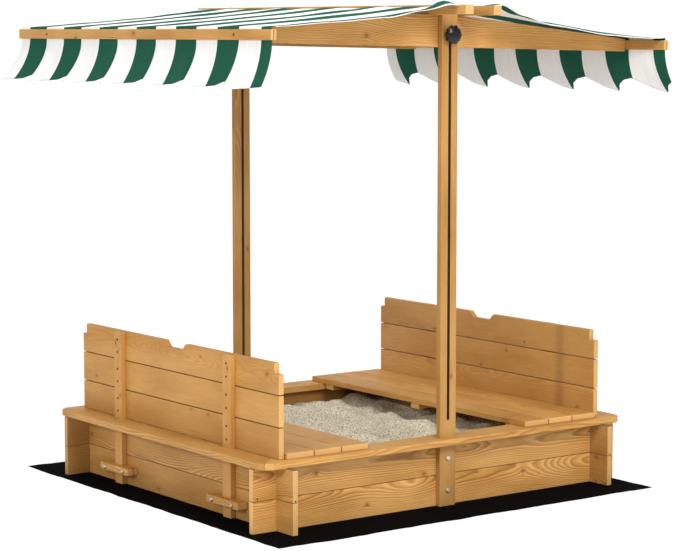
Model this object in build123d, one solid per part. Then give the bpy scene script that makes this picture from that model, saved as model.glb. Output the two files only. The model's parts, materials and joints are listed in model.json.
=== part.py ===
from build123d import *
import os

# Sandbox with two benches, two lift-out backrests and a fabric canopy that slides and tilts.
# Millimetres. The origin is on the ground at the middle of the box. +X points at the right
# bench, +Y from the near side to the far side, +Z up. Near is -Y and left is -X.

# Stock
BOARD_T = 18.0
SHEET_T = 1.0
FABRIC_T = 1.5
EDGE_R = 1.5
MOVE_GAP = 0.3

# Box: two boards high, side walls along X and end walls along Y
WALL_BOARD_H = 95.5
WALL_BASE_Z = SHEET_T
WALL_MIDDLE_Z = WALL_BASE_Z + WALL_BOARD_H
WALL_TOP_Z = WALL_BASE_Z + 2 * WALL_BOARD_H
SIDE_WALL_Y = 548.0
END_WALL_X = 618.0
STUB = 83.0
SIDE_WALL_IN_Y = SIDE_WALL_Y - BOARD_T
END_WALL_IN_X = END_WALL_X - BOARD_T
SIDE_WALL_END_X = END_WALL_X + STUB
END_WALL_END_Y = SIDE_WALL_Y + STUB

# Rim
RIM_X = 1400.0
RIM_Y = 1200.0
RIM_W = 95.0
RIM_T = 20.0
RIM_CORNER_R = 50.0
RIM_EDGE_R = 4.0
RIM_TOP_Z = WALL_TOP_Z + RIM_T

# Posts with a slot for the clamp bolts
POST_W = 61.0
POST_T = 20.0
POST_TOP_Z = 1487.0
POST_OUT_Y = SIDE_WALL_Y + POST_T
SLOT_HALF_W = 4.4
SLOT_BASE_Z = 267.0
POST_BOLT_Z = (50.0, 149.0)

# Canopy clamp
PIVOT_Z = 1428.0
REST_TILT_DEG = 1.32
BOLT_R = 4.0
BORE_R = BOLT_R + MOVE_GAP
CLAMP_HEAD_R = 10.0
CLAMP_HEAD_H = 4.5
WASHER_R = 12.0
WASHER_T = 2.0
KNOB_R = 29.0
KNOB_H = 20.0
KNOB_DOME_R = 45.0
KNOB_STEM_R = 14.0
KNOB_STEM_H = 8.0
KNOB_POINTS = 10
KNOB_FLUTE_R = 12.8
KNOB_FLUTE_AT = 37.3

# Canopy, measured from the pivot with the canopy level
RAIL_GAP = 0.8
RAIL_OUT_Y = SIDE_WALL_Y - RAIL_GAP
RAIL_END_X = 732.0
RAIL_BASE = -37.0
RAIL_APEX = 58.0
RAIL_END_TOP = 3.0
RIDGE_GAP = 76.0
RIDGE_BAR_W = 30.0
RIDGE_BAR_H = 28.0
RIDGE_OUT_X = RIDGE_GAP / 2 + RIDGE_BAR_W
END_BAR_BASE = -31.0
END_BAR_H = 30.0
END_BAR_T = 9.0
FOLD_IN_X = RAIL_END_X + END_BAR_T
FOLD_OUT_X = FOLD_IN_X + FABRIC_T
END_BAR_OUT_X = FOLD_OUT_X + END_BAR_T
BAR_HALF_Y = 722.5
CLOTH_HALF_Y = 718.0
CLOTH_RIDGE = 80.0
CLOTH_MIDDLE = (400.0, 36.0)
CLOTH_END = 5.0
SCALLOP = 221.0
SCALLOPS = 7
FIRST_CUSP_Y = -774.5
VALANCE_DROP = 103.0
VALANCE_TIP = 32.0
VALANCE_FLARE = 56.0

# Benches
SEAT_IN_X = 305.0
SEAT_BOARD_W = 96.0
SEAT_GAP = 2.5
SEAT_HALF_Y = 572.0
CLEAT_W = 42.0
CLEAT_T = 20.0
CLEAT_Y = (-483.0, 0.0, 483.0)
CLEAT_X = (SEAT_IN_X + 12.0, SEAT_IN_X + 272.0)

# Backrests, each of three boards and two battens
REST_IN_X = 600.5
REST_OUT_X = REST_IN_X + BOARD_T
REST_BASE_Z = RIM_TOP_Z + MOVE_GAP
REST_BOARD_H = 91.0
REST_GAP = 3.0
REST_TOP_Z = REST_BASE_Z + 3 * REST_BOARD_H + 2 * REST_GAP
REST_HALF_Y = 562.0
STEP_DEEP = 23.0
STEP_HIGH = 32.0
NOTCH_W = 124.0
NOTCH_DEEP = 20.0
NOTCH_R = 10.0
BATTEN_W = 42.0
BATTEN_Y = 314.0
BATTEN_OUT_X = REST_OUT_X + BOARD_T
BATTEN_BASE_Z = WALL_BASE_Z + 1.0
BATTEN_TOP_Z = REST_TOP_Z - 3.0
BATTEN_PLAY = 0.5

# Keepers on the end walls
KEEPER_L = 170.0
KEEPER_H = 23.0
KEEPER_D = 37.0
KEEPER_Z = 51.0
KEEPER_BOLT_Y = 54.0

# Sand and ground sheet
SAND_TOP_Z = 160.0
GROUND_SHEET_X = (-738.0, 698.0)
GROUND_SHEET_Y = (-736.0, 736.0)

PARTS = {}


def block(x, y, z):
    """A box from a (low, high) pair on each axis."""
    pairs = (x, y, z)
    size = [high - low for low, high in pairs]
    middle = [(high + low) / 2 for low, high in pairs]
    return Pos(*middle) * Box(*size)


def plank(x, y, z, edge=EDGE_R):
    """A board with eased edges."""
    board = block(x, y, z)
    return fillet(board.edges(), edge)


def fastener(point, direction, head_r, head_h, shank_r, length, dome=0.6):
    """A domed head that stands out of point along direction, and a shank that goes in."""
    head = Cylinder(head_r, head_h, align=(Align.CENTER, Align.CENTER, Align.MIN))
    head = fillet(head.edges().sort_by(Axis.Z)[-1], head_h * dome)
    shank = Cylinder(shank_r, length, align=(Align.CENTER, Align.CENTER, Align.MAX))
    return Plane(origin=point, z_dir=direction) * (head + shank)


def screw(point, direction):
    return fastener(point, direction, 3.6, 1.2, 1.8, 28.0)


def coach_bolt(point, direction, length=34.0):
    return fastener(point, direction, 8.0, 4.0, 3.5, length)


def nail(point, direction):
    return fastener(point, direction, 2.6, 0.8, 1.3, 26.0)


def cut(shape, tools):
    for tool in tools:
        shape = shape - tool
    return shape


def to_far(shape):
    return mirror(shape, about=Plane.XZ)


def to_right(shape):
    return mirror(shape, about=Plane.YZ)


def four_corners(shape):
    """A shape at the near left, near right, far left and far right."""
    return [shape, to_right(shape), to_far(shape), to_right(to_far(shape))]


def group(shapes):
    return Compound([solid for shape in shapes for solid in shape.solids()])


# Corner nails: one in each side wall's stub and one in the end of each end wall's stub
side_nail = nail((-SIDE_WALL_END_X + 16, -SIDE_WALL_Y, WALL_MIDDLE_Z + 7), (0, -1, 0))
side_nail = side_nail & block((-SIDE_WALL_END_X, 0), (-SIDE_WALL_Y - 2, -SIDE_WALL_IN_Y - 2), (0, WALL_TOP_Z))
end_nail = nail((-END_WALL_X + BOARD_T / 2, -END_WALL_END_Y, WALL_MIDDLE_Z + 5), (0, -1, 0))
corner_nails = four_corners(side_nail) + four_corners(end_nail)
PARTS["corner_nails"] = group(corner_nails)

# Post bolts
post_bolts = []
for bolt_z in POST_BOLT_Z:
    near_bolt = coach_bolt((0, -POST_OUT_Y, bolt_z), (0, -1, 0))
    post_bolts += [near_bolt, to_far(near_bolt)]
PARTS["post_bolts"] = group(post_bolts)

# Keepers, with the notch that holds the foot of a batten
keeper = plank(
    (-END_WALL_X - KEEPER_D, -END_WALL_X),
    (-BATTEN_Y - KEEPER_L / 2, -BATTEN_Y + KEEPER_L / 2),
    (KEEPER_Z - KEEPER_H / 2, KEEPER_Z + KEEPER_H / 2),
    edge=3.0,
)
keeper = keeper - block(
    (-BATTEN_OUT_X - BATTEN_PLAY, -END_WALL_X + 1),
    (-BATTEN_Y - BATTEN_W / 2 - BATTEN_PLAY, -BATTEN_Y + BATTEN_W / 2 + BATTEN_PLAY),
    (0, 2 * KEEPER_Z),
)
keeper_bolts = []
for offset in (-KEEPER_BOLT_Y, KEEPER_BOLT_Y):
    bolt = coach_bolt((-END_WALL_X - KEEPER_D, -BATTEN_Y + offset, KEEPER_Z), (-1, 0, 0), 50.0)
    keeper = keeper - bolt
    keeper_bolts += four_corners(bolt)
PARTS["keeper_bolts"] = group(keeper_bolts)
keeper_names = ("near_left_keeper", "near_right_keeper", "far_left_keeper", "far_right_keeper")
for name, shape in zip(keeper_names, four_corners(keeper)):
    PARTS[name] = shape

# Walls, cross-lapped: side boards lose the top half of each crossing, end boards the bottom half
wall_fasteners = corner_nails + post_bolts + keeper_bolts
for level, base_z in (("lower", WALL_BASE_Z), ("upper", WALL_MIDDLE_Z)):
    z_range = (base_z, base_z + WALL_BOARD_H)
    half_z = base_z + WALL_BOARD_H / 2
    side_wall = plank((-SIDE_WALL_END_X, SIDE_WALL_END_X), (-SIDE_WALL_Y, -SIDE_WALL_IN_Y), z_range)
    end_wall = plank((-END_WALL_X, -END_WALL_IN_X), (-END_WALL_END_Y, END_WALL_END_Y), z_range)
    for sign in (-1, 1):
        x_pair = sorted((sign * END_WALL_IN_X, sign * END_WALL_X))
        y_pair = sorted((sign * SIDE_WALL_IN_Y, sign * SIDE_WALL_Y))
        side_wall = side_wall - block(x_pair, (-SIDE_WALL_Y - 1, -SIDE_WALL_IN_Y + 1), (half_z, z_range[1] + 1))
        end_wall = end_wall - block((-END_WALL_X - 1, -END_WALL_IN_X + 1), y_pair, (z_range[0] - 1, half_z))
    PARTS[f"near_{level}_wall"] = cut(side_wall, wall_fasteners)
    PARTS[f"far_{level}_wall"] = cut(to_far(side_wall), wall_fasteners)
    PARTS[f"left_{level}_wall"] = cut(end_wall, wall_fasteners)
    PARTS[f"right_{level}_wall"] = cut(to_right(end_wall), wall_fasteners)

# Rim: a rounded slab cut along its mitres, with holes for the posts and the battens
slab = extrude(Plane.XY.offset(WALL_TOP_Z) * RectangleRounded(RIM_X, RIM_Y, RIM_CORNER_R), RIM_T)
slab = fillet(slab.edges().group_by(Axis.Z)[0] + slab.edges().group_by(Axis.Z)[-1], RIM_EDGE_R)
out_x, out_y = RIM_X / 2, RIM_Y / 2
in_x, in_y = out_x - RIM_W, out_y - RIM_W


def mitred(points):
    outline = Plane.XY.offset(WALL_TOP_Z) * make_face(Polyline(*points, close=True))
    return slab & extrude(outline, RIM_T)


near_rim = mitred([(-out_x, -out_y), (out_x, -out_y), (in_x, -in_y), (-in_x, -in_y)])
near_rim = near_rim - block(
    (-POST_W / 2 - MOVE_GAP, POST_W / 2 + MOVE_GAP),
    (-POST_OUT_Y - MOVE_GAP, -SIDE_WALL_Y + MOVE_GAP),
    (WALL_TOP_Z - 1, RIM_TOP_Z + 1),
)
left_rim = mitred([(-out_x, -out_y), (-in_x, -in_y), (-in_x, in_y), (-out_x, out_y)])
for sign in (-1, 1):
    left_rim = left_rim - block(
        (-BATTEN_OUT_X - BATTEN_PLAY, -END_WALL_X),
        (sign * BATTEN_Y - BATTEN_W / 2 - BATTEN_PLAY, sign * BATTEN_Y + BATTEN_W / 2 + BATTEN_PLAY),
        (WALL_TOP_Z - 1, RIM_TOP_Z + 1),
    )
PARTS["near_rim"] = near_rim
PARTS["far_rim"] = to_far(near_rim)
PARTS["left_rim"] = left_rim
PARTS["right_rim"] = to_right(left_rim)

# Posts
slot_top_z = PIVOT_Z + SLOT_HALF_W + MOVE_GAP
post = plank((-POST_W / 2, POST_W / 2), (-POST_OUT_Y, -SIDE_WALL_Y), (WALL_BASE_Z, POST_TOP_Z), edge=2.0)
slot_length = slot_top_z - SLOT_BASE_Z
slot = Plane.XZ.offset(SIDE_WALL_Y - 1) * Pos(0, (slot_top_z + SLOT_BASE_Z) / 2) * Rot(0, 0, 90)
slot = extrude(slot * SlotOverall(slot_length, 2 * SLOT_HALF_W), POST_T + 2)
post = cut(post - slot, post_bolts)
PARTS["near_post"] = post
PARTS["far_post"] = to_far(post)

# Benches
for index, place in enumerate(("inner", "middle", "outer")):
    x_out = -SEAT_IN_X - index * (SEAT_BOARD_W + SEAT_GAP)
    board = plank(
        (x_out - SEAT_BOARD_W, x_out), (-SEAT_HALF_Y, SEAT_HALF_Y), (RIM_TOP_Z, RIM_TOP_Z + BOARD_T), edge=2.0
    )
    PARTS[f"left_seat_{place}_board"] = board
    PARTS[f"right_seat_{place}_board"] = to_right(board)
cleats = [
    plank((-CLEAT_X[1], -CLEAT_X[0]), (y - CLEAT_W / 2, y + CLEAT_W / 2), (RIM_TOP_Z - CLEAT_T, RIM_TOP_Z))
    for y in CLEAT_Y
]
PARTS["left_seat_cleats"] = group(cleats)
PARTS["right_seat_cleats"] = group([to_right(cleat) for cleat in cleats])

# Sand and ground sheet
PARTS["sand_bed"] = block(
    (-END_WALL_IN_X, END_WALL_IN_X), (-SIDE_WALL_IN_Y, SIDE_WALL_IN_Y), (SHEET_T, SAND_TOP_Z)
)
PARTS["ground_sheet"] = block(GROUND_SHEET_X, GROUND_SHEET_Y, (0, SHEET_T))

# Backrests
rest_boards = []
for index in range(3):
    base_z = REST_BASE_Z + index * (REST_BOARD_H + REST_GAP)
    rest_boards.append(
        plank((-REST_OUT_X, -REST_IN_X), (-REST_HALF_Y, REST_HALF_Y), (base_z, base_z + REST_BOARD_H), edge=2.0)
    )
battens = [
    plank((-BATTEN_OUT_X, -REST_OUT_X), (y - BATTEN_W / 2, y + BATTEN_W / 2), (BATTEN_BASE_Z, BATTEN_TOP_Z))
    for y in (-BATTEN_Y, BATTEN_Y)
]
rest_screws = []
for index in range(3):
    base_z = REST_BASE_Z + index * (REST_BOARD_H + REST_GAP)
    for screw_z in (base_z + 0.28 * REST_BOARD_H, base_z + 0.72 * REST_BOARD_H):
        for y in (-BATTEN_Y, BATTEN_Y):
            rest_screws.append(screw((-BATTEN_OUT_X, y, screw_z), (-1, 0, 0)))
rest_boards = [cut(board, rest_screws) for board in rest_boards]
battens = [cut(batten, rest_screws) for batten in battens]

# The top board's steps clear the posts, and its notch is a hand hole, when the backrests lie flat
step_y = REST_HALF_Y - STEP_DEEP
step_z = REST_TOP_Z - STEP_HIGH
for y in ((-REST_HALF_Y - 1, -step_y), (step_y, REST_HALF_Y + 1)):
    rest_boards[2] = rest_boards[2] - block((-REST_OUT_X - 1, -REST_IN_X + 1), y, (step_z, REST_TOP_Z + 1))
notch_low_w = NOTCH_W - 2 * NOTCH_DEEP
notch_face = make_face(
    Polyline(
        (-NOTCH_W / 2 - 1, REST_TOP_Z + 1),
        (-notch_low_w / 2, REST_TOP_Z - NOTCH_DEEP),
        (notch_low_w / 2, REST_TOP_Z - NOTCH_DEEP),
        (NOTCH_W / 2 + 1, REST_TOP_Z + 1),
        close=True,
    )
)
notch_face = fillet(notch_face.vertices().sort_by(Axis.Y)[:2], NOTCH_R)
notch = extrude(Plane.YZ.offset(-REST_OUT_X - 1) * notch_face, BOARD_T + 2)
rest_boards[2] = rest_boards[2] - notch
for side, place in (("left", lambda shape: shape), ("right", to_right)):
    for name, board in zip(("lower", "middle", "upper"), rest_boards):
        PARTS[f"{side}_backrest_{name}_board"] = place(board)
    PARTS[f"{side}_backrest_near_batten"] = place(battens[0])
    PARTS[f"{side}_backrest_far_batten"] = place(battens[1])
    PARTS[f"{side}_backrest_screws"] = group([place(one) for one in rest_screws])

# Clamp carriage: bolts from inside the rails, washers outside the posts, and the knobs
outwards = (0, -1, 0)
head_y = RAIL_OUT_Y - BOARD_T - MOVE_GAP
washer_y = POST_OUT_Y + MOVE_GAP
knob_y = washer_y + WASHER_T + MOVE_GAP
bolt_end_y = knob_y + KNOB_STEM_H + 0.6 * KNOB_H
clamp_head = Cylinder(CLAMP_HEAD_R, CLAMP_HEAD_H, align=(Align.CENTER, Align.CENTER, Align.MAX))
clamp_head = fillet(clamp_head.edges().sort_by(Axis.Z)[0], 0.6 * CLAMP_HEAD_H)
clamp_shank = Cylinder(BOLT_R, bolt_end_y - head_y, align=(Align.CENTER, Align.CENTER, Align.MIN))
clamp_bolt = Plane(origin=(0, -head_y, PIVOT_Z), z_dir=outwards) * (clamp_head + clamp_shank)
ring = Cylinder(WASHER_R, WASHER_T, align=(Align.CENTER, Align.CENTER, Align.MIN))
ring = ring - Cylinder(BOLT_R + 0.1, 3 * WASHER_T)
washer = Plane(origin=(0, -washer_y, PIVOT_Z), z_dir=outwards) * ring
PARTS["clamp_bolts"] = group([clamp_bolt, to_far(clamp_bolt)])
PARTS["clamp_washers"] = group([washer, to_far(washer)])

knob_head = Cylinder(KNOB_R, KNOB_H, align=(Align.CENTER, Align.CENTER, Align.MIN))
knob_head = knob_head & Pos(0, 0, KNOB_H - KNOB_DOME_R) * Sphere(KNOB_DOME_R)
knob_head = fillet(knob_head.edges().sort_by(Axis.Z)[0], 2.0)
flutes = PolarLocations(KNOB_FLUTE_AT, KNOB_POINTS) * Cylinder(KNOB_FLUTE_R, 3 * KNOB_H)
knob_head = cut(knob_head, flutes)
knob_stem = Cylinder(KNOB_STEM_R, KNOB_STEM_H + 2, align=(Align.CENTER, Align.CENTER, Align.MIN))
bore_depth = bolt_end_y - knob_y + MOVE_GAP
knob = Pos(0, 0, KNOB_STEM_H) * knob_head + knob_stem
knob = knob - Cylinder(BORE_R, bore_depth, align=(Align.CENTER, Align.CENTER, Align.MIN))
knob = Plane(origin=(0, -knob_y, PIVOT_Z), z_dir=outwards) * knob
PARTS["near_knob"] = knob
PARTS["far_knob"] = to_far(knob)

# Canopy frame, level and measured from the pivot
rail_outline = make_face(
    Polyline(
        (-RAIL_END_X, RAIL_BASE),
        (RAIL_END_X, RAIL_BASE),
        (RAIL_END_X, RAIL_END_TOP),
        (RIDGE_OUT_X, RAIL_APEX),
        (-RIDGE_OUT_X, RAIL_APEX),
        (-RAIL_END_X, RAIL_END_TOP),
        close=True,
    )
)
rail = extrude(Plane.XZ.offset(RAIL_OUT_Y - BOARD_T) * rail_outline, BOARD_T)
rail = fillet(rail.edges(), EDGE_R)
rail_bore = Pos(0, -RAIL_OUT_Y, 0) * Rot(90, 0, 0) * Cylinder(BORE_R, 3 * BOARD_T)
rail = rail - rail_bore
end_bar_z = (END_BAR_BASE, END_BAR_BASE + END_BAR_H)
inner_end_bar = plank((-FOLD_IN_X, -RAIL_END_X), (-BAR_HALF_Y, BAR_HALF_Y), end_bar_z)
outer_end_bar = plank((-END_BAR_OUT_X, -FOLD_OUT_X), (-BAR_HALF_Y, BAR_HALF_Y), end_bar_z)
ridge_bar = plank(
    (-RIDGE_OUT_X, -RIDGE_GAP / 2), (-BAR_HALF_Y, BAR_HALF_Y), (RAIL_APEX, RAIL_APEX + RIDGE_BAR_H), edge=2.0
)
rail_middle_y = RAIL_OUT_Y - BOARD_T / 2
end_bar_screw = screw((-END_BAR_OUT_X, -rail_middle_y, END_BAR_BASE + END_BAR_H / 2), (-1, 0, 0))
ridge_screw = fastener(
    (-RIDGE_OUT_X + RIDGE_BAR_W / 2, -rail_middle_y, RAIL_APEX + RIDGE_BAR_H), (0, 0, 1), 3.6, 1.2, 1.8, 50.0
)
canopy_screws = four_corners(end_bar_screw) + four_corners(ridge_screw)

# Fabric: a panel from the ridge bar out over the inner end bar, and a valance that comes down
# between the two end bars and hangs in scallops below them
panel_top = [(-RIDGE_OUT_X, CLOTH_RIDGE), (-CLOTH_MIDDLE[0], CLOTH_MIDDLE[1]), (-FOLD_IN_X, CLOTH_END)]
panel_low = [(x, z - FABRIC_T) for x, z in panel_top]
panel_outline = make_face(
    [
        ThreePointArc(*panel_top),
        ThreePointArc(*panel_low),
        Line(panel_top[0], panel_low[0]),
        Line(panel_top[2], panel_low[2]),
    ]
)
panel = extrude(Plane.XZ * panel_outline, CLOTH_HALF_Y, both=True)

valance_low_z = END_BAR_BASE - VALANCE_DROP - VALANCE_TIP
flare_in = Spline(
    (-FOLD_IN_X, END_BAR_BASE), (-FOLD_IN_X - VALANCE_FLARE, valance_low_z), tangents=[(0, -1), (-1, -1)]
)
flare_out = Pos(-FABRIC_T, 0) * flare_in
valance_outline = make_face(
    [
        flare_in,
        flare_out,
        Line(flare_in @ 1, flare_out @ 1),
        Polyline(flare_in @ 0, (-FOLD_IN_X, CLOTH_END), (-FOLD_OUT_X, CLOTH_END), flare_out @ 0),
    ]
)
valance = extrude(Plane.XZ * valance_outline, CLOTH_HALF_Y, both=True)
cusp_z = END_BAR_BASE - VALANCE_DROP
below_z = valance_low_z - 20
for index in range(SCALLOPS):
    first = FIRST_CUSP_Y + index * SCALLOP
    last = first + SCALLOP
    hollow = make_face(
        [
            ThreePointArc((first, cusp_z), (first + SCALLOP / 2, valance_low_z), (last, cusp_z)),
            Polyline((first, cusp_z), (first, below_z), (last, below_z), (last, cusp_z)),
        ]
    )
    valance = valance - extrude(Plane.YZ.offset(-FOLD_IN_X - 2 * VALANCE_FLARE) * hollow, 3 * VALANCE_FLARE)
at_rest = Pos(0, 0, PIVOT_Z) * Rot(0, REST_TILT_DEG, 0)
near_rail = cut(rail, canopy_screws)
PARTS["near_rail"] = at_rest * near_rail
PARTS["far_rail"] = at_rest * to_far(near_rail)
left_side = {
    "inner_end_bar": cut(inner_end_bar, canopy_screws),
    "outer_end_bar": cut(outer_end_bar, canopy_screws),
    "ridge_bar": cut(ridge_bar, canopy_screws),
    "canopy_panel": cut(panel, canopy_screws),
    "valance": cut(valance, canopy_screws),
}
for name, shape in left_side.items():
    PARTS[f"left_{name}"] = at_rest * shape
    PARTS[f"right_{name}"] = at_rest * to_right(shape)
PARTS["canopy_screws"] = at_rest * group(canopy_screws)

os.makedirs("parts", exist_ok=True)
for name, shape in PARTS.items():
    export_step(shape, f"parts/{name}.step")
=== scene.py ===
import json
import math
import random

import bpy
import numpy as np
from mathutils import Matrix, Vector, noise


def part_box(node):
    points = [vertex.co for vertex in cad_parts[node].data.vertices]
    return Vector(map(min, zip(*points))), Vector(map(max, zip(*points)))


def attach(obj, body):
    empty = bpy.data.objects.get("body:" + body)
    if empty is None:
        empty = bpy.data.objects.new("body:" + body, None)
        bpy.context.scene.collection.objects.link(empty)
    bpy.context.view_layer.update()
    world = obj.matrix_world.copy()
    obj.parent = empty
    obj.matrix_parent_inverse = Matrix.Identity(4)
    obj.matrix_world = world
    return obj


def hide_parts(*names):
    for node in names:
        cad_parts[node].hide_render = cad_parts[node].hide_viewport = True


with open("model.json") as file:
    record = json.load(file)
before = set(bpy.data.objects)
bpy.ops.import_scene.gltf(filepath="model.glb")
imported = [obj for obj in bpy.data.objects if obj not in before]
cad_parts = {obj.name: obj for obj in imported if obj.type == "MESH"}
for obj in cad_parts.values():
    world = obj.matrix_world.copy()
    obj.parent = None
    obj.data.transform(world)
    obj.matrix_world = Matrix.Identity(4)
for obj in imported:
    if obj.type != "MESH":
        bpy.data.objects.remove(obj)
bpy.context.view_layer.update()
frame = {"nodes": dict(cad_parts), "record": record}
nodes = frame["nodes"]
joints = {joint["name"]: joint for joint in frame["record"]["behaviour"]["joints"]}
pivot = Vector(joints["canopy_tilt"]["pos_m"])
REST_TILT = -math.radians(joints["canopy_tilt"]["range_deg"][0])

# ---------------------------------------------------------------- node graphs


class Graph:
    """Builds a node tree with one short call for each node."""

    def __init__(self, tree):
        self.tree = tree

    def add(self, kind, inputs=None, **settings):
        node = self.tree.nodes.new(kind)
        for key, value in settings.items():
            setattr(node, key, value)
        for key, value in (inputs or {}).items():
            self.feed(node.inputs[key], value)
        return node

    def feed(self, socket, value):
        if isinstance(value, bpy.types.NodeSocket):
            self.tree.links.new(value, socket)
        else:
            socket.default_value = value

    def math(self, operation, first, second=0.0):
        return self.add("ShaderNodeMath", {0: first, 1: second}, operation=operation).outputs[0]

    def times(self, *values):
        """The product of any number of values."""
        product = values[0]
        for value in values[1:]:
            product = self.math("MULTIPLY", product, value)
        return product

    def join(self, x, y, z):
        return self.add("ShaderNodeCombineXYZ", {0: x, 1: y, 2: z}).outputs[0]

    def split(self, vector):
        return self.add("ShaderNodeSeparateXYZ", {0: vector}).outputs

    def place(self):
        """The point on the surface, in the object's own coordinates."""
        return self.add("ShaderNodeTexCoord").outputs["Object"]

    def scaled(self, vector, factor):
        inputs = {0: vector, 1: self.join(factor, factor, factor)}
        return self.add("ShaderNodeVectorMath", inputs, operation="MULTIPLY").outputs[0]

    def length(self, first, second):
        """The length of a vector with these two components."""
        squares = self.math("ADD", self.math("POWER", first, 2.0), self.math("POWER", second, 2.0))
        return self.math("SQRT", squares)

    def noise(self, vector, scale, detail=2.0, roughness=0.5):
        inputs = {"Vector": vector, "Scale": scale, "Detail": detail, "Roughness": roughness}
        return self.add("ShaderNodeTexNoise", inputs).outputs["Fac"]

    def spread(self, value, low, high, to_low=0.0, to_high=1.0, smooth=True):
        inputs = {"Value": value, "From Min": low, "From Max": high}
        inputs |= {"To Min": to_low, "To Max": to_high}
        kind = "SMOOTHSTEP" if smooth else "LINEAR"
        return self.add("ShaderNodeMapRange", inputs, interpolation_type=kind).outputs["Result"]

    def mix(self, factor, first, second, blend="MIX"):
        node = self.add("ShaderNodeMix", data_type="RGBA", blend_type=blend)
        self.feed(node.inputs[0], factor)
        self.feed(node.inputs[6], first)
        self.feed(node.inputs[7], second)
        return node.outputs[2]


def new_material(name):
    material = bpy.data.materials.new(name)
    material.use_nodes = True
    material.node_tree.nodes.clear()
    return material, Graph(material.node_tree)


def finish_material(graph, color, roughness, height=None, bump=0.3, distance=0.001, **constants):
    shader = graph.add("ShaderNodeBsdfPrincipled", {"Base Color": color, "Roughness": roughness})
    for key, value in constants.items():
        shader.inputs[key.replace("_", " ")].default_value = value
    if height is not None:
        inputs = {"Height": height, "Strength": bump, "Distance": distance}
        graph.feed(shader.inputs["Normal"], graph.add("ShaderNodeBump", inputs).outputs[0])
    output = graph.add("ShaderNodeOutputMaterial")
    graph.feed(output.inputs[0], shader.outputs[0])


# ---------------------------------------------------------------- wood

# Colour of the pale band by each late ring: partly pale earlywood, partly a painted highlight
PALE_WOOD_AND_HIGHLIGHT = (0.80, 0.50, 0.20, 1.0)
EARLY_WOOD = (0.60, 0.315, 0.086, 1.0)
MIDDLE_WOOD = (0.50, 0.240, 0.053, 1.0)
LATE_WOOD = (0.27, 0.105, 0.020, 1.0)
KNOT_WOOD = (0.20, 0.080, 0.020, 1.0)
END_WOOD = (0.72, 0.45, 0.18, 1.0)
RINGS_PER_M = 290.0


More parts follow.
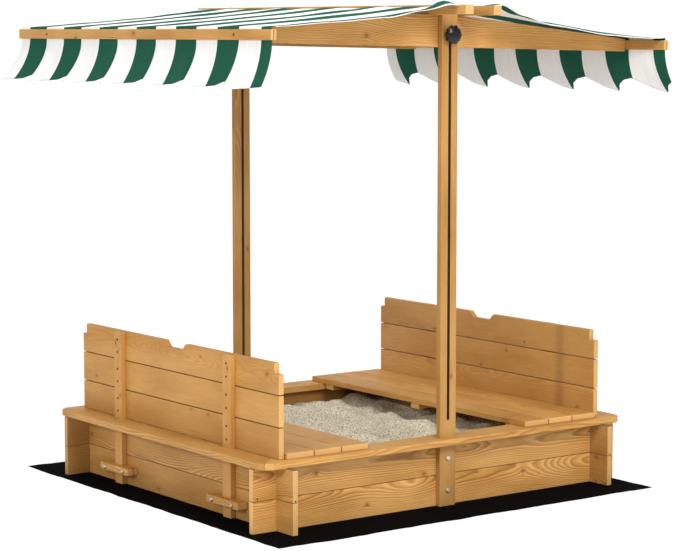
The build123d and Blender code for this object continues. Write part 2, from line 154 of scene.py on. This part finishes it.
def fir_group():
    """The grain of a fir board in board coordinates: x along, y across and z through it."""
    group = bpy.data.node_groups.new("fir_grain", "ShaderNodeTree")
    inputs = {name: "NodeSocketVector" for name in ("Board", "Knot A", "Knot B")}
    numbers = ("Seed", "Pith", "Offset", "Lean", "Contrast", "Tone_and_shade", "End")
    inputs |= {name: "NodeSocketFloat" for name in numbers}
    outputs = {"Color": "NodeSocketColor", "Roughness": "NodeSocketFloat", "Height": "NodeSocketFloat"}
    for direction, sockets in (("INPUT", inputs), ("OUTPUT", outputs)):
        for name, kind in sockets.items():
            group.interface.new_socket(name, in_out=direction, socket_type=kind)
    g = Graph(group)
    source = g.add("NodeGroupInput").outputs
    x, y, z = g.split(source["Board"])
    seed = source["Seed"]

    # The board is cut from a log whose centre wanders below and beside it
    slow_x = g.math("MULTIPLY", x, 2.1)
    wander_h = g.noise(g.join(slow_x, seed, 0.7), 1.0, 1.0)
    wander_y = g.noise(g.join(slow_x, seed, 3.1), 1.0, 1.0)
    depth = g.math("ADD", source["Pith"], g.math("MULTIPLY", g.math("SUBTRACT", wander_h, 0.5), 0.085))
    depth = g.math("ADD", depth, z)
    side = g.math("ADD", y, g.math("MULTIPLY", g.math("SUBTRACT", wander_y, 0.5), 0.04))
    side = g.math("ADD", g.math("ADD", side, source["Offset"]), g.math("MULTIPLY", x, source["Lean"]))
    radius = g.length(depth, side)

    # Knots push the rings aside
    knot_core, knot_rim, push = 0.0, 0.0, 0.0
    for name in ("Knot A", "Knot B"):
        knot_x, knot_y, size = g.split(source[name])
        away_x = g.math("MULTIPLY", g.math("SUBTRACT", x, knot_x), 0.62)
        away_y = g.math("SUBTRACT", y, knot_y)
        reach = g.math("DIVIDE", g.length(away_x, away_y), size)
        fall = g.math("EXPONENT", g.math("MULTIPLY", reach, -0.55))
        push = g.math("ADD", g.math("MULTIPLY", size, fall), push)
        knot_core = g.math("MAXIMUM", knot_core, g.spread(reach, 1.1, 0.55))
        knot_rim = g.math("MAXIMUM", knot_rim, g.spread(reach, 2.8, 0.9))
    radius = g.math("ADD", radius, g.math("MULTIPLY", push, 1.5))
    ripple_at = g.join(g.math("MULTIPLY", x, 11.0), g.math("MULTIPLY", y, 34.0), seed)
    ripple = g.noise(ripple_at, 1.0, 2.0)
    radius = g.math("ADD", radius, g.math("MULTIPLY", g.math("SUBTRACT", ripple, 0.5), 0.0038))
    uneven = g.noise(g.join(g.math("MULTIPLY", radius, 70.0), seed, 0.0), 1.0, 1.0)
    rings = g.math("MULTIPLY", radius, RINGS_PER_M)
    ring = g.math("ADD", rings, g.math("MULTIPLY", uneven, 2.4))
    phase = g.math("FRACT", ring)
    late = g.math("MULTIPLY", g.spread(phase, 0.45, 0.86), g.spread(phase, 1.0, 0.9))
    # A pale band beside each late ring: partly pale earlywood, partly a painted highlight that makes the
    # grain look raised
    pale = g.math("MULTIPLY", g.spread(phase, 0.0, 0.12), g.spread(phase, 0.42, 0.15))

    thin_y, thin_z = g.math("MULTIPLY", y, 700.0), g.math("MULTIPLY", z, 700.0)
    fibre_at = g.join(g.math("MULTIPLY", x, 14.0), thin_y, thin_z)
    fibre = g.noise(fibre_at, 1.0, 3.0, 0.6)
    patch_at = g.join(g.math("MULTIPLY", x, 3.0), g.math("MULTIPLY", y, 9.0), seed)
    patch = g.noise(patch_at, 1.0, 2.0)

    strength = g.times(late, g.spread(patch, 0.25, 0.75, 0.30, 0.72), source["Contrast"])
    color = g.mix(g.spread(patch, 0.3, 0.72), EARLY_WOOD, MIDDLE_WOOD)
    pale = g.math("MULTIPLY", pale, g.spread(patch, 0.7, 0.35, 0.08, 0.42))
    color = g.mix(g.math("MULTIPLY", pale, source["Contrast"]), color, PALE_WOOD_AND_HIGHLIGHT)
    color = g.mix(strength, color, LATE_WOOD)
    color = g.mix(g.math("MULTIPLY", source["End"], 0.62), color, END_WOOD)
    color = g.mix(g.math("MULTIPLY", knot_rim, 0.3), color, LATE_WOOD)
    color = g.mix(g.math("MULTIPLY", knot_core, 0.7), color, KNOT_WOOD)
    streak = g.spread(fibre, 0.3, 0.7, 0.86, 1.08)
    # The lightness scale is partly the board's own random tone and partly painted shade and light for its
    # piece
    color = g.scaled(color, g.math("MULTIPLY", source["Tone_and_shade"], streak))
    roughness = g.spread(late, 0.0, 1.0, 0.56, 0.44, smooth=False)
    height = g.math("ADD", g.math("MULTIPLY", late, -0.55), g.math("MULTIPLY", fibre, 0.5))
    target = g.add("NodeGroupOutput")
    for name, value in (("Color", color), ("Roughness", roughness), ("Height", height)):
        g.feed(target.inputs[name], value)
    return group


FIR = fir_group()
AXES = {"X": 0, "Y": 1, "Z": 2}
# Painted shade for the inside of the slot in each post
SLOT_SHADE = (0.035, 0.016, 0.007, 1.0)
SLOT_BASE_Z = 0.266
SLOT_TOP_Z = 1.434
SEAM_WOOD = (0.12, 0.050, 0.014, 1.0)
SEAM_W = 0.0016
MITRE_OFFSET = 0.1
# How strongly the rings show, and how light the wood is, by the first of these words that is in the name
# of the piece. The lightness is partly the wood's own tone and partly painted shade and light: pieces
# that lie in shade or face away from the lamps are darkened, well-lit ones are lightened
RINGS_AND_SHADE = {
    "left_backrest": (0.4, 0.95),
    "backrest": (0.4, 0.88),
    "near_upper_wall": (1.3, 0.95),
    "near_lower_wall": (1.25, 1.08),
    "left_upper_wall": (1.25, 0.88),
    "left_lower_wall": (1.25, 0.88),
    "far_upper_wall": (1.1, 0.70),
    "far_lower_wall": (1.1, 0.70),
    "wall": (1.1, 0.82),
    "left_rim": (0.95, 0.85),
    "rim": (0.95, 0.95),
    "post": (0.8, 0.78),
    "seat": (0.9, 1.02),
    "rail": (1.3, 1.03),
    "end_bar": (0.9, 0.88),
    "bar": (0.9, 0.96),
    "keeper": (0.8, 1.08),
}


def slot_shade_and_seams(g, color, name, place, local, across, width):
    """The colour with painted shade inside a post's slot and the dark lines of a seam or a mitre, on the
    pieces that have one.
    """
    # Painted shade: the inside of each post's slot is darkened as if in shadow
    if name.endswith("post"):
        inside = g.spread(g.math("ABSOLUTE", local[AXES["X"]]), 0.0056, 0.0048)
        height = g.split(place)[2]
        above = g.math("GREATER_THAN", height, SLOT_BASE_Z)
        below = g.math("LESS_THAN", height, SLOT_TOP_Z)
        color = g.mix(g.times(inside, above, below, 0.9), color, SLOT_SHADE)
    if name.endswith("wall"):
        seam = g.math("ABSOLUTE", local[AXES[across]])
        seam = g.spread(seam, width / 2 - SEAM_W, width / 2 - 0.6 * SEAM_W)
        color = g.mix(g.math("MULTIPLY", seam, 0.75), color, SEAM_WOOD)
    if name.endswith("rim"):
        # On a mitre x is MITRE_OFFSET more than y
        x, y, z = g.split(place)
        across_mitre = g.math("SUBTRACT", g.math("ABSOLUTE", x), g.math("ABSOLUTE", y))
        mitre = g.math("ABSOLUTE", g.math("SUBTRACT", across_mitre, MITRE_OFFSET))
        mitre = g.spread(mitre, SEAM_W, 0.5 * SEAM_W)
        color = g.mix(g.math("MULTIPLY", mitre, 0.75), color, SEAM_WOOD)
    return color


def wood(name, axes, seed, tilt, contrast, tone_and_shade):
    """A board's material. axes are the world axes along, across and through the level board."""
    lengthwise, across, through = axes
    dice = random.Random(seed)
    low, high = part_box(name)
    middle = (low + high) / 2
    length = (high - low)[AXES[lengthwise]]
    width = (high - low)[AXES[across]]
    material, g = new_material("wood_" + name)
    place = g.place()
    inputs = {"Vector": place, "Location": middle, "Rotation": (0.0, tilt, 0.0)}
    local = g.split(g.add("ShaderNodeMapping", inputs, vector_type="TEXTURE").outputs[0])
    board = g.join(local[AXES[lengthwise]], local[AXES[across]], local[AXES[through]])
    normal = g.add("ShaderNodeNewGeometry").outputs["Normal"]
    ends = {"X": (1, 0, 0), "Y": (0, 1, 0), "Z": (0, 0, 1)}[lengthwise]
    dot = g.add("ShaderNodeVectorMath", {0: normal, 1: ends}, operation="DOT_PRODUCT")
    end = g.spread(g.math("ABSOLUTE", dot.outputs["Value"]), 0.75, 0.95)
    settings = {
        "Seed": dice.uniform(0.0, 60.0),
        "Pith": dice.choice((-1, 1)) * dice.uniform(0.02, 0.06),
        "Offset": dice.choice((-1, 1)) * dice.uniform(0.012, 0.11),
        "Lean": dice.uniform(-0.02, 0.02),
        "Contrast": contrast,
        # Painted shade and light of the piece, times a random tone of the board
        "Tone_and_shade": tone_and_shade * dice.uniform(0.94, 1.07),
    }
    for socket in ("Knot A", "Knot B"):
        half = 0.46 * length
        spot = (dice.uniform(-half, half), dice.uniform(-0.42, 0.42) * width, dice.uniform(0.0025, 0.006))
        settings[socket] = spot
    grain = g.add("ShaderNodeGroup", node_tree=FIR)
    for socket, value in {"Board": board, "End": end, **settings}.items():
        g.feed(grain.inputs[socket], value)
    out = grain.outputs
    color = slot_shade_and_seams(g, out["Color"], name, place, local, across, width)
    finish_material(g, color, out["Roughness"], out["Height"], 0.3, 0.0006, Specular_IOR_Level=0.3)
    return material


def dress(name, material):
    slots = nodes[name].data.materials
    slots.clear()
    slots.append(material)


def board_axes(name):
    """The board's axes from the longest to the shortest, with the exceptions that lie otherwise."""
    if name.endswith("cleats"):
        return "XYZ"
    if name in ("near_rail", "far_rail"):
        return "XZY"
    low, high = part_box(name)
    return sorted("XYZ", key=lambda letter: low[AXES[letter]] - high[AXES[letter]])


CANOPY = set(frame["record"]["behaviour"]["bodies"]["canopy"])
SLOTS = {part["node"]: part["material_slot"] for part in frame["record"]["subparts"]}
wooden = sorted(name for name in nodes if SLOTS[name].endswith("wood"))
for seed, name in enumerate(wooden, 12):
    tilt = REST_TILT if name in CANOPY else 0.0
    contrast, tone_and_shade = next(look for word, look in RINGS_AND_SHADE.items() if word in name)
    dress(name, wood(name, board_axes(name), seed, tilt, contrast, tone_and_shade))

# ---------------------------------------------------------------- metal and plastic


def metal(name, color, rough):
    material, g = new_material(name)
    place = g.place()
    speck = g.noise(place, 900.0, 3.0)
    blotch = g.noise(place, 120.0, 2.0)
    dark = tuple(0.6 * value for value in color[:3]) + (1.0,)
    tint = g.mix(g.spread(blotch, 0.35, 0.75), color, dark)
    roughness = g.spread(speck, 0.3, 0.7, rough - 0.08, rough + 0.12)
    finish_material(g, tint, roughness, speck, 0.15, 0.0002, Metallic=1.0)
    return material


def knob_plastic():
    material, g = new_material("knob_plastic")
    place = g.place()
    grain = g.noise(place, 1400.0, 2.0)
    scuff = g.noise(place, 90.0, 3.0)
    tint = g.mix(g.spread(scuff, 0.45, 0.8), (0.004, 0.004, 0.005, 1), (0.012, 0.012, 0.014, 1))
    roughness = g.spread(grain, 0.3, 0.7, 0.16, 0.26)
    finish_material(g, tint, roughness, grain, 0.12, 0.0002, Specular_IOR_Level=0.35)
    return material


bright_steel = metal("bright_steel", (0.62, 0.60, 0.56, 1.0), 0.32)
screw_steel = metal("screw_steel", (0.10, 0.075, 0.05, 1.0), 0.5)
black_plastic = knob_plastic()
for name in nodes:
    if "screws" in name or "nails" in name:
        dress(name, screw_steel)
    elif "bolt" in name or "washer" in name:
        dress(name, bright_steel)
    elif "knob" in name:
        dress(name, black_plastic)

# ---------------------------------------------------------------- helper for meshes


def mesh_object(name, points, faces, material, smooth=True):
    mesh = bpy.data.meshes.new(name)
    mesh.from_pydata([tuple(point) for point in points], [], faces)
    mesh.validate()
    mesh.update()
    if smooth:
        mesh.polygons.foreach_set("use_smooth", [True] * len(mesh.polygons))
    mesh.materials.append(material)
    piece = bpy.data.objects.new(name, mesh)
    bpy.context.scene.collection.objects.link(piece)
    return piece


def grid_faces(rows, columns, flip=False):
    faces = []
    for row in range(rows - 1):
        for column in range(columns - 1):
            first = row * columns + column
            face = (first, first + 1, first + columns + 1, first + columns)
            faces.append(face[::-1] if flip else face)
    return faces


def closed_sheet(rows, columns, top, bottom):
    """The points and faces of a closed sheet from two grids of points."""
    count = rows * columns
    faces = grid_faces(rows, columns)
    faces += [tuple(index + count for index in face[::-1]) for face in grid_faces(rows, columns)]
    edge = list(range(columns))
    edge += [row * columns + columns - 1 for row in range(1, rows)]
    edge += [(rows - 1) * columns + column for column in range(columns - 2, -1, -1)]
    edge += [row * columns for row in range(rows - 2, 0, -1)]
    for here, after in zip(edge, edge[1:] + edge[:1]):
        faces.append((after, here, here + count, after + count))
    return list(top) + list(bottom), faces


# ---------------------------------------------------------------- striped canopy

STRIPE = 0.1105
FIRST_STRIPE_Y = -0.664
CLOTH_HALF_Y = 0.716
CLOTH_T = 0.0012
RIDGE_NARROWING = 0.034
NARROWING_STEEP = 2.5
WEAVE = 0.0011
RIDGE_X = 0.0688
RAIL_END_X = 0.732
FOLD_X = 0.7422
RAIL_END_TOP = 0.003
RAIL_APEX = 0.058
RAIL_APEX_X = 0.068
RAIL_Y = 0.538
RAIL_HALF_T = 0.012
RAIL_CLEARANCE = 0.0025
RIDGE_TOP = 0.080
END_BAR_BASE = -0.031
CUSP_Y = -0.7745
SCALLOP = 2 * STRIPE
DEEPEST = 0.137
BINDING_W = 0.009


def narrowing(share):
    """The cloth is a little narrower at the ridge, where the bars stick out of it."""
    return 1.0 - RIDGE_NARROWING * max(0.0, 1.0 - NARROWING_STEEP * share)


def edge_y(g, x):
    """The same narrowing as a node: the cloth's half width over the world x."""
    wide_x = RIDGE_X + (FOLD_X - RIDGE_X) / NARROWING_STEEP
    share = g.spread(g.math("ABSOLUTE", x), RIDGE_X, wide_x, smooth=False)
    narrow = CLOTH_HALF_Y * (1.0 - RIDGE_NARROWING)
    return g.spread(share, 0.0, 1.0, narrow, CLOTH_HALF_Y, smooth=False)


def striped_cloth():
    material, g = new_material("striped_cloth")
    place = g.place()
    x, y, z = g.split(place)
    edge = edge_y(g, x)
    flat_y = g.math("MULTIPLY", y, g.math("DIVIDE", CLOTH_HALF_Y, edge))
    count = g.math("DIVIDE", g.math("SUBTRACT", flat_y, FIRST_STRIPE_Y), STRIPE)
    green = g.math("GREATER_THAN", g.math("FRACT", g.math("MULTIPLY", count, 0.5)), 0.5)
    unbound = g.math("LESS_THAN", g.math("ABSOLUTE", y), g.math("SUBTRACT", edge, BINDING_W))
    beyond = g.math("GREATER_THAN", g.math("ABSOLUTE", x), RAIL_END_X)
    green = g.math("MULTIPLY", green, g.math("MAXIMUM", unbound, beyond))
    warp = g.math("SINE", g.math("MULTIPLY", y, 2 * math.pi / WEAVE))
    weft = g.math("SINE", g.math("MULTIPLY", g.math("ADD", x, z), 2 * math.pi / WEAVE))
    weave = g.math("MULTIPLY", warp, weft)
    slub = g.noise(g.join(g.math("MULTIPLY", x, 20.0), g.math("MULTIPLY", y, 420.0), z), 1.0, 2.0)
    fade = g.noise(place, 5.0, 2.0)
    green_tint = g.mix(fade, (0.014, 0.078, 0.048, 1.0), (0.020, 0.100, 0.064, 1.0))
    white_tint = g.mix(fade, (0.74, 0.74, 0.735, 1.0), (0.82, 0.82, 0.81, 1.0))
    tint = g.mix(green, white_tint, green_tint)
    tint = g.scaled(tint, g.spread(slub, 0.25, 0.75, 0.92, 1.05))
    height = g.math("ADD", g.math("MULTIPLY", weave, 0.5), slub)
    roughness = g.spread(slub, 0.3, 0.7, 0.9, 1.0)
    finish_material(g, tint, roughness, height, 0.3, 0.0003, Specular_IOR_Level=0.03)
    return material


cloth = striped_cloth()


def bell(value, middle, width):
    return math.exp(-(((value - middle) / width) ** 2))


def wrinkle(x, y, seed, scale):
    return noise.noise(Vector((x * scale, y * scale, seed)))


def rail_top(x):
    share = max(0.0, (x - RAIL_APEX_X) / (RAIL_END_X - RAIL_APEX_X))
    return RAIL_APEX + (RAIL_END_TOP - RAIL_APEX) * share


def read_profile(profile, share):
    """A value from (share, value) pairs, with a smooth curve between them."""
    for (start, first), (end, last) in zip(profile, profile[1:]):
        if share <= end:
            part = (share - start) / (end - start)
            part = part * part * (3.0 - 2.0 * part) * 0.5 + part * 0.5
            return first + (last - first) * part
    return profile[-1][1]


def panel_height(share, y, style):
    """Height of the cloth between the ridge bar, share 0, and the end bar, share 1."""
    x = RIDGE_X + share * (FOLD_X - RIDGE_X)
    chord = RIDGE_TOP + (RAIL_END_TOP + 0.002 - RIDGE_TOP) * share
    sag = 4.0 * share * (1.0 - share) ** 1.15
    height = chord - 0.004 * sag
    height += 0.003 * math.sin(math.pi * share) * wrinkle(x, y, style["seed"], 6.0)
    height += 0.0035 * bell(share, 0.0, 0.12) * wrinkle(0.3 * x, y, style["seed"] + 5.0, 17.0)
    height += 0.0030 * bell(share, 1.0, 0.10) * wrinkle(0.3 * x, y, style["seed"] + 9.0, 15.0)
    outside = max(0.0, (abs(y) - RAIL_Y) / (CLOTH_HALF_Y - RAIL_Y))
    hem = read_profile(style["hem"], share)
    height += (hem - height) * outside**2.4
    height += style["curl"] * bell(share, 0.045, 0.06) * bell(y, 0.04 - CLOTH_HALF_Y, 0.034)
    on_rail = rail_top(x) + RAIL_CLEARANCE
    height += max(0.0, on_rail - height) * bell(abs(y), RAIL_Y, 0.03)
    if abs(abs(y) - RAIL_Y) < RAIL_HALF_T:
        height = max(height, on_rail)
    return height


def lobe_share(y):
    """The share of the way along a scallop, from its near cusp to its far cusp."""
    return ((y - CUSP_Y) / SCALLOP) % 1.0


def valance_drop(y, style):
    return read_profile(style["lobe"], lobe_share(y))


def valance_flare(share, y, drop, style):
    near, far = style["flare"]
    reach = near + (far - near) * (y + CLOTH_HALF_Y) / (2 * CLOTH_HALF_Y)
    reach *= (drop / DEEPEST) ** 1.8
    wave = read_profile(style["wave"], lobe_share(y))
    wave += 0.007 * wrinkle(y, 0.2, style["seed"], 7.0)
    return reach * share**1.9 + wave * share**1.3


SHEET_ROWS = 46
BEHIND_BAR_ROWS = 4
VALANCE_ROWS = 14


def cloth_columns():
    """Evenly spaced columns, with the nearest one moved on to each cusp."""
    count = 288
    steps = [-CLOTH_HALF_Y + 2 * CLOTH_HALF_Y * index / count for index in range(count + 1)]
    for cusp in [CUSP_Y + k * SCALLOP for k in range(8)]:
        if abs(cusp) < CLOTH_HALF_Y:
            nearest = min(range(len(steps)), key=lambda index: abs(steps[index] - cusp))
            steps[nearest] = cusp
    return steps


def to_world(sign, x, y, z):
    """A point of the level canopy, on the side that sign says, at the stored tilt."""
    level_x = sign * x
    turned_x = level_x * math.cos(REST_TILT) + z * math.sin(REST_TILT)
    turned_z = -level_x * math.sin(REST_TILT) + z * math.cos(REST_TILT)
    return Vector((turned_x, y, turned_z + pivot.z))


def cloth_grid(sign, style):
    """Rows of points from the ridge, over the panel, behind the end bar and down the valance."""
    columns = cloth_columns()
    rows = []
    for row in range(SHEET_ROWS):
        share = row / (SHEET_ROWS - 1)
        x = RIDGE_X + share * (FOLD_X - RIDGE_X)
        rows.append([(x, y * narrowing(share), panel_height(share, y, style)) for y in columns])
    for row in range(1, BEHIND_BAR_ROWS + 1):
        share = row / BEHIND_BAR_ROWS
        heights = [(1 - share) * panel_height(1.0, y, style) + share * END_BAR_BASE for y in columns]
        rows.append([(FOLD_X, y, height) for y, height in zip(columns, heights)])
    for row in range(1, VALANCE_ROWS + 1):
        share = row / VALANCE_ROWS
        line = []
        for y in columns:
            drop = valance_drop(y, style)
            out = valance_flare(share, y, drop, style)
            down = drop * share * math.sqrt(max(0.2, 1.0 - 0.25 * (out / drop) ** 2))
            line.append((FOLD_X + out, y + style["drift"] * share**2, END_BAR_BASE - down))
        rows.append(line)
    return rows, columns


def offset_grid(grid, distance):
    """The grid moved along its normals."""
    points = np.array(grid)
    downwards = np.gradient(points, axis=0)
    sideways = np.gradient(points, axis=1)
    normal = np.cross(sideways, downwards)
    normal /= np.linalg.norm(normal, axis=2, keepdims=True)
    return points + distance * normal


def canopy_cloth(name, sign, style, replaced):
    rows, columns = cloth_grid(sign, style)
    inner = offset_grid(rows, -CLOTH_T)
    top = [to_world(sign, *point) for row in rows for point in row]
    bottom = [to_world(sign, *point) for row in inner for point in row]
    points, faces = closed_sheet(len(rows), len(columns), top, bottom)
    if sign > 0:
        faces = [face[::-1] for face in faces]
    piece = mesh_object(name, points, faces, cloth)
    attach(piece, "canopy")
    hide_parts(*replaced)


# hem gives the height of the panel's near and far edges by the share of the way out from the ridge.
# lobe gives the valance's drop, and wave how far it swings out, from a near cusp to a far cusp.
# flare is how far the valance hangs outwards, at its near end and at its far end.
LEFT_STYLE = {
    "seed": 3.0,
    "hem": [
        (0.0, 0.080),
        (0.06, 0.079),
        (0.21, 0.064),
        (0.40, 0.041),
        (0.7, 0.022),
        (0.94, 0.008),
        (1.0, 0.005),
    ],
    "curl": 0.018,
    "lobe": [(0.0, 0.096), (0.1, 0.116), (0.3, 0.130), (0.6, 0.135), (0.94, 0.140), (1.0, 0.122)],
    "wave": [(0.0, -0.010), (0.35, -0.003), (0.7, 0.002), (0.93, 0.018), (1.0, 0.008)],
    "flare": (0.038, 0.062),
    "drift": 0.004,
}
RIGHT_STYLE = {
    "seed": 8.0,
    "hem": [
        (0.0, 0.084),
        (0.05, 0.086),
        (0.15, 0.060),
        (0.31, 0.034),
        (0.64, 0.009),
        (0.9, 0.003),
        (1.0, 0.005),
    ],
    "curl": 0.010,
    "lobe": [(0.0, 0.090), (0.2, 0.096), (0.38, 0.112), (0.5, 0.138), (0.62, 0.130), (1.0, 0.094)],
    "wave": [(0.0, -0.006), (0.3, 0.002), (0.5, 0.012), (0.7, 0.003), (1.0, -0.006)],
    "flare": (0.056, 0.052),
    "drift": 0.0,
}
canopy_cloth("left_canopy_cloth", -1, LEFT_STYLE, ("left_canopy_panel", "left_valance"))
canopy_cloth("right_canopy_cloth", 1, RIGHT_STYLE, ("right_canopy_panel", "right_valance"))

# ---------------------------------------------------------------- sand


def sand_material():
    material, g = new_material("dry_sand")
    place = g.place()
    grains = g.add("ShaderNodeTexVoronoi", {"Vector": place, "Scale": 300.0}).outputs["Distance"]
    speckle = g.noise(place, 190.0, 3.0, 0.7)
    drift = g.noise(place, 9.0, 4.0)
    tint = g.mix(g.spread(drift, 0.3, 0.7), (0.95, 0.86, 0.67, 1), (0.78, 0.69, 0.52, 1))
    tint = g.mix(g.spread(speckle, 0.52, 0.62), tint, (0.30, 0.25, 0.17, 1))
    tint = g.mix(g.spread(speckle, 0.46, 0.38), tint, (1.0, 0.96, 0.84, 1))
    height = g.math("ADD", grains, g.math("MULTIPLY", speckle, 1.2))
    finish_material(g, tint, 0.93, height, 1.0, 0.0035, Specular_IOR_Level=0.2)
    return material


SAND_STEP = 0.008


def sand_bed():
    low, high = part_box("sand_bed")
    columns = int((high.x - low.x) / SAND_STEP) + 1
    rows = int((high.y - low.y) / SAND_STEP) + 1
    dice = random.Random(4)
    dents = []
    for _ in range(150):
        spot = (dice.uniform(low.x, high.x), dice.uniform(low.y, high.y))
        dents.append((*spot, dice.uniform(0.02, 0.06)))
    points = []
    for row in range(rows):
        for column in range(columns):
            x = low.x + (high.x - low.x) * column / (columns - 1)
            y = low.y + (high.y - low.y) * row / (rows - 1)
            place = Vector((x, y, 0.0))
            height = 0.014 * noise.noise(place * 4.0) + 0.030 * noise.noise(place * 9.0)
            height += 0.009 * abs(noise.noise(place * 18.0)) + 0.004 * noise.noise(place * 45.0)
            for dent_x, dent_y, size in dents:
                far = (x - dent_x) ** 2 + (y - dent_y) ** 2
                if far < 9 * size * size:
                    ratio = far / (size * size)
                    height += 0.22 * size * math.exp(-ratio) * (ratio - 0.6)
            edge = min(x - low.x, high.x - x, y - low.y, high.y - y)
            height -= 0.006 * bell(edge, 0.0, 0.03)
            points.append((x, y, high.z + height - 0.008))
    base = [(x, y, low.z) for x, y, z in points]
    all_points, faces = closed_sheet(rows, columns, points, base)
    piece = mesh_object("sand", all_points, faces, sand_material())
    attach(piece, "box")
    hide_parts("sand_bed")


sand_bed()

# ---------------------------------------------------------------- ground sheet


GROUND_WEAVE = 0.003
GROUND_CLOTH_T = 0.0008
GROUND_GAP = 0.0001
# The cloth lies flat under the box and ripples a little outside it
BOX_HALF_X = 0.66
BOX_HALF_Y = 0.60


def ground_cloth():
    material, g = new_material("ground_cloth")
    place = g.place()
    x, y, z = g.split(place)
    warp = g.math("SINE", g.math("MULTIPLY", x, 2 * math.pi / GROUND_WEAVE))
    weft = g.math("SINE", g.math("MULTIPLY", y, 2 * math.pi / GROUND_WEAVE))
    fluff = g.noise(place, 300.0, 3.0)
    tint = g.mix(fluff, (0.0006, 0.0006, 0.0007, 1), (0.0025, 0.0025, 0.003, 1))
    height = g.math("ADD", g.math("MULTIPLY", g.math("MULTIPLY", warp, weft), 0.5), fluff)
    finish_material(g, tint, 1.0, height, 0.3, 0.0004, Specular_IOR_Level=0.03)
    return material


def ground_sheet():
    low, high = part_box("ground_sheet")
    size = high - low
    count = 150
    top, bottom = [], []
    for row in range(count):
        for column in range(count):
            x = low.x + size.x * column / (count - 1)
            y = low.y + size.y * row / (count - 1)
            outside = max(abs(x) - BOX_HALF_X, abs(y) - BOX_HALF_Y, 0.0)
            ease = min(1.0, outside / 0.05)
            ripple = 0.004 * abs(noise.noise(Vector((x * 5.0, y * 5.0, 2.0))))
            ripple += 0.002 * abs(noise.noise(Vector((x * 14.0, y * 14.0, 5.0))))
            wander = 0.004 * noise.noise(Vector((x * 3.0, y * 3.0, 9.0)))
            base = GROUND_GAP + ease * ripple
            top.append((x + wander, y - wander, base + GROUND_CLOTH_T))
            bottom.append((x + wander, y - wander, base))
    points, faces = closed_sheet(count, count, top, bottom)
    piece = mesh_object("ground_cloth_sheet", points, faces, ground_cloth())
    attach(piece, "box")
    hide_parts("ground_sheet")


ground_sheet()

# ---------------------------------------------------------------- floor, light and camera


SKY_LIGHT = 0.72
SKY_SEEN = 1.05
WARM_WHITE = (1.0, 0.98, 0.95)


def studio():
    """A pale floor that catches light and shadow, under a sky that is brighter to the camera."""
    material, g = new_material("studio_floor")
    finish_material(g, (0.93, 0.93, 0.93, 1.0), 0.6)
    corners = [(-30, -30, -0.001), (30, -30, -0.001), (30, 30, -0.001), (-30, 30, -0.001)]
    floor = mesh_object("studio_floor", corners, [(0, 1, 2, 3)], material, smooth=False)
    floor.visible_camera = False
    world = bpy.data.worlds.new("studio_world")
    world.use_nodes = True
    sky = Graph(world.node_tree)
    seen = sky.add("ShaderNodeLightPath").outputs["Is Camera Ray"]
    background = world.node_tree.nodes["Background"]
    background.inputs[0].default_value = (1.0, 1.0, 1.0, 1.0)
    sky.feed(background.inputs[1], sky.spread(seen, 0.0, 1.0, SKY_LIGHT, SKY_SEEN, smooth=False))
    bpy.context.scene.world = world


def area_light(name, position, target, size, power, color=(1, 1, 1)):
    data = bpy.data.lights.new(name, "AREA")
    data.energy = power
    data.size = size
    data.color = color
    lamp = bpy.data.objects.new(name, data)
    lamp.location = position
    lamp.rotation_euler = (Vector(target) - Vector(position)).to_track_quat("-Z", "Y").to_euler()
    bpy.context.scene.collection.objects.link(lamp)


studio()
area_light("key", (-0.8, -5.1, 4.0), (0.0, 0.0, 0.5), 2.0, 215.0, WARM_WHITE)
area_light("side", (-6.0, -2.15, 2.6), (0.0, 0.0, 0.6), 0.25, 107.0, WARM_WHITE)
area_light("top", (0.5, 0.5, 5.0), (0.0, 0.0, 0.8), 4.0, 120.0)

CAMERA_AT = (-4.219, -5.789, 1.442)
CAMERA_YAW = 0.6306
CAMERA_PITCH = -0.1092
LENS_MM = 118.74
camera_data = bpy.data.cameras.new("camera")
camera_data.lens = LENS_MM
camera_data.sensor_width = 36.0
camera_data.clip_end = 200.0
camera = bpy.data.objects.new("camera", camera_data)
camera.location = CAMERA_AT
level = math.cos(CAMERA_PITCH)
forward = Vector((math.sin(CAMERA_YAW) * level, math.cos(CAMERA_YAW) * level, math.sin(CAMERA_PITCH)))
camera.rotation_euler = forward.to_track_quat("-Z", "Y").to_euler()
bpy.context.scene.collection.objects.link(camera)
bpy.context.scene.camera = camera
bpy.context.scene.view_settings.view_transform = "Standard"
